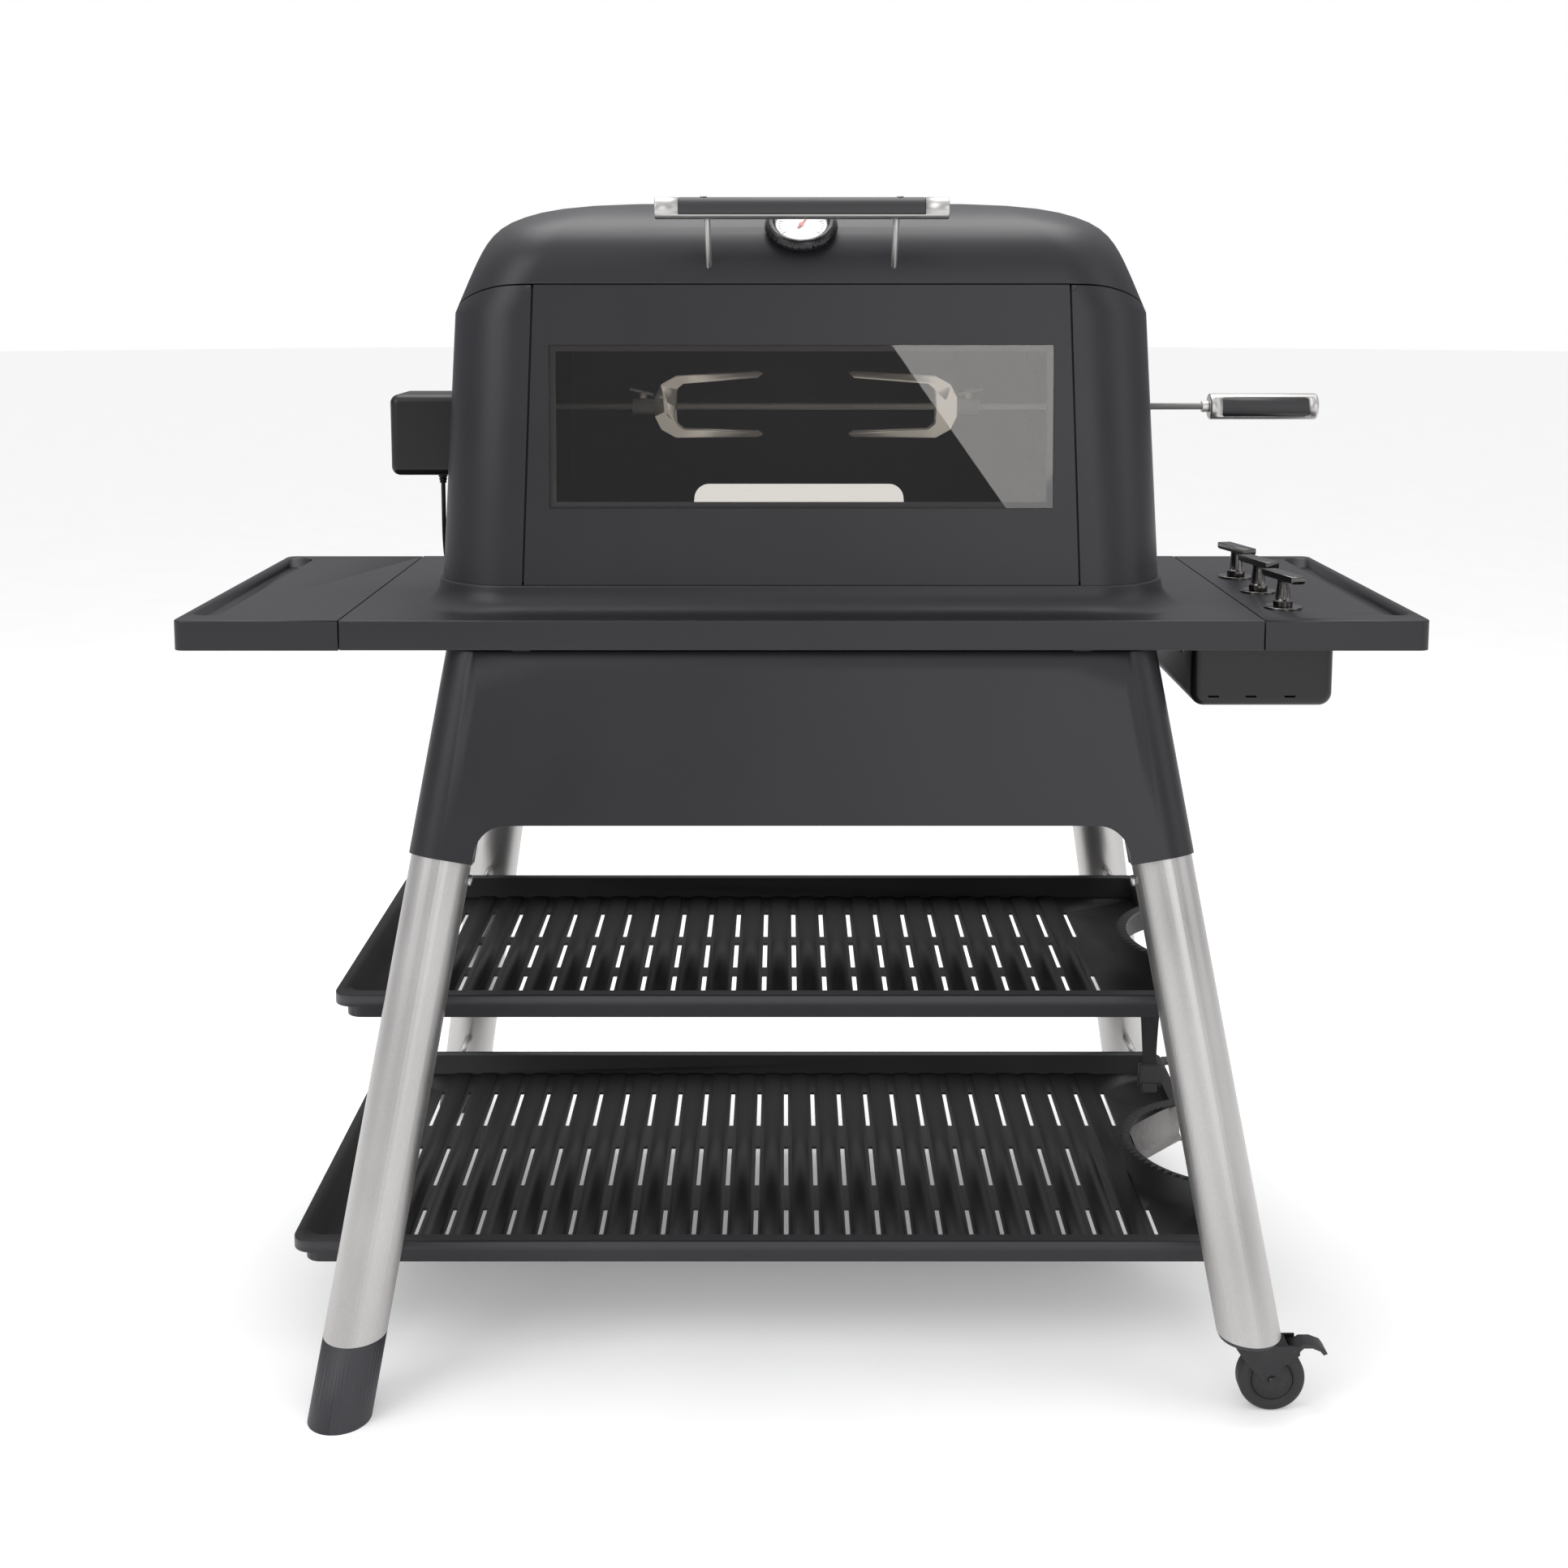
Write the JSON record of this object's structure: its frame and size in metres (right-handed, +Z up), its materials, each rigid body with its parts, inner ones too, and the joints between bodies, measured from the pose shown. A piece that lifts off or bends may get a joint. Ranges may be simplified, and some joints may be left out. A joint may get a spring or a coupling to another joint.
{
  "type": "rotisserie gas barbecue",
  "caption": "Free-standing gas barbecue on splayed steel legs, with a tall windowed hood for a motor-driven rotisserie spit, slotted shelves, bottle notch and casters.",
  "frame": {"origin": "centre of the footprint on the ground, at the bottom of the feet and wheels", "axes": "+Z up; +X towards the object's right as seen from the front, where the gas controls are; the front faces -Y"},
  "size_m": [1.572, 0.982, 1.4812],
  "materials": {
    "graphite_coat": "matte powder coat",
    "enamelled_iron": "matt enamel",
    "sheet_steel": "plain sheet",
    "brass_fittings": "satin",
    "knob_metal": "dark polished",
    "brushed_stainless": "brushed",
    "dark_plastic": "fine grain",
    "webbing": "woven webbing",
    "cord_jacket": "smooth",
    "handle_posts_coat": "matte powder coat",
    "dark_glass": "tinted",
    "dial_white": "printed face",
    "needle_red": "satin"
  },
  "bodies": {
    "frame": {"table_center": "graphite_coat", "side_shelf_left": "graphite_coat", "side_shelf_right": "graphite_coat", "firebox": "sheet_steel", "burners": "sheet_steel", "flame_tamers": "sheet_steel", "cooking_grills": "enamelled_iron", "gas_manifold": "brass_fittings", "valve_cover": "graphite_coat", "knob_bezels": "knob_metal", "leg_frame": "graphite_coat", "leg_front_left": "brushed_stainless", "leg_front_right": "brushed_stainless", "leg_rear_left": "brushed_stainless", "leg_rear_right": "brushed_stainless", "feet": "dark_plastic", "leg_bolts": "brushed_stainless", "upper_shelf": "graphite_coat", "lower_shelf": "graphite_coat", "shelf_brackets": "sheet_steel", "bottle_cradle": "dark_plastic", "bottle_strap": "webbing", "hood_side_left": "graphite_coat", "hood_side_right": "graphite_coat", "hood_front_panel": "graphite_coat", "hood_rear_panel": "graphite_coat", "hood_frame": "graphite_coat", "window_glass": "dark_glass", "spit_bushes": "dark_plastic", "motor_housing": "graphite_coat", "motor_core": "sheet_steel", "cord_gland": "dark_plastic", "cord_tube": "cord_jacket", "cord_coil": "cord_jacket", "plug": "dark_plastic"},
    "lid": {"lid_shell": "graphite_coat", "lid_handle_bar": "brushed_stainless", "lid_handle_grip": "dark_plastic", "lid_handle_posts": "handle_posts_coat", "thermometer_body": "knob_metal", "thermometer_dial": "dial_white"},
    "needle": {"thermometer_needle": "needle_red"},
    "drip_tray_body": {"drip_tray": "sheet_steel"},
    "knob_front": {"gas_knob_front": "knob_metal"},
    "knob_middle": {"gas_knob_middle": "knob_metal"},
    "knob_rear": {"gas_knob_rear": "knob_metal"},
    "spit": {"spit_rod": "brushed_stainless", "spit_handle": "brushed_stainless", "spit_grip": "dark_plastic", "drive_socket": "brushed_stainless"},
    "fork_l": {"fork_left": "brushed_stainless"},
    "fork_r": {"fork_right": "brushed_stainless"},
    "screw_l": {"fork_screw_left": "brushed_stainless"},
    "screw_r": {"fork_screw_right": "brushed_stainless"},
    "swivel_front": {"caster_fork_front": "brushed_stainless"},
    "wheel_front": {"caster_wheel_front": "dark_plastic"},
    "brake_front": {"caster_brake_front": "dark_plastic"},
    "swivel_rear": {"caster_fork_rear": "brushed_stainless"},
    "wheel_rear": {"caster_wheel_rear": "dark_plastic"},
    "brake_rear": {"caster_brake_rear": "dark_plastic"}
  },
  "joints": [
    {"name": "lid_hinge", "type": "hinge", "parent": "frame", "child": "lid", "pos_m": [0, 0.173, 1.341], "axis": [-1, 0, 0], "range_deg": [0, 85]},
    {"name": "needle_turn", "type": "hinge", "parent": "lid", "child": "needle", "pos_m": [0, -0.1685, 1.442], "axis": [0, 0.6691, -0.7431], "range_deg": [0, 250]},
    {"name": "drip_tray_slide", "type": "slide", "parent": "frame", "child": "drip_tray_body", "axis": [0, 1, 0], "range_m": [0, 0.22]},
    {"name": "spit_spin", "type": "hinge", "parent": "frame", "child": "spit", "pos_m": [0, 0, 1.205], "axis": [1, 0, 0], "continuous": true},
    {"name": "fork_left_slide", "type": "slide", "parent": "spit", "child": "fork_l", "axis": [1, 0, 0], "range_m": [-0.15, 0.04]},
    {"name": "fork_right_slide", "type": "slide", "parent": "spit", "child": "fork_r", "axis": [1, 0, 0], "range_m": [-0.04, 0.15]},
    {"name": "fork_screw_left_turn", "type": "hinge", "parent": "fork_l", "child": "screw_l", "pos_m": [-0.216, 0, 1.22], "axis": [0, 0, 1], "continuous": true},
    {"name": "fork_screw_right_turn", "type": "hinge", "parent": "fork_r", "child": "screw_r", "pos_m": [0.232, 0, 1.22], "axis": [0, 0, 1], "continuous": true},
    {"name": "knob_front_turn", "type": "hinge", "parent": "frame", "child": "knob_front", "pos_m": [0.624, -0.191, 0.96], "axis": [0, 0, 1], "range_deg": [0, 180]},
    {"name": "knob_middle_turn", "type": "hinge", "parent": "frame", "child": "knob_middle", "pos_m": [0.624, -0.06, 0.96], "axis": [0, 0, 1], "range_deg": [0, 180]},
    {"name": "knob_rear_turn", "type": "hinge", "parent": "frame", "child": "knob_rear", "pos_m": [0.624, 0.07, 0.96], "axis": [0, 0, 1], "range_deg": [0, 180]},
    {"name": "caster_swivel_front", "type": "hinge", "parent": "frame", "child": "swivel_front", "pos_m": [0.54735, -0.42937, 0.09], "axis": [0, 0, 1], "continuous": true},
    {"name": "caster_roll_front", "type": "hinge", "parent": "swivel_front", "child": "wheel_front", "pos_m": [0.57535, -0.42937, 0.041], "axis": [0, 1, 0], "continuous": true},
    {"name": "caster_brake_front", "type": "hinge", "parent": "swivel_front", "child": "brake_front", "pos_m": [0.60135, -0.42937, 0.08], "axis": [0, 1, 0], "range_deg": [0, 8]},
    {"name": "caster_swivel_rear", "type": "hinge", "parent": "frame", "child": "swivel_rear", "pos_m": [0.54735, 0.42937, 0.09], "axis": [0, 0, 1], "continuous": true},
    {"name": "caster_roll_rear", "type": "hinge", "parent": "swivel_rear", "child": "wheel_rear", "pos_m": [0.57535, 0.42937, 0.041], "axis": [0, 1, 0], "continuous": true},
    {"name": "caster_brake_rear", "type": "hinge", "parent": "swivel_rear", "child": "brake_rear", "pos_m": [0.60135, 0.42937, 0.08], "axis": [0, 1, 0], "range_deg": [0, 8]}
  ]
}
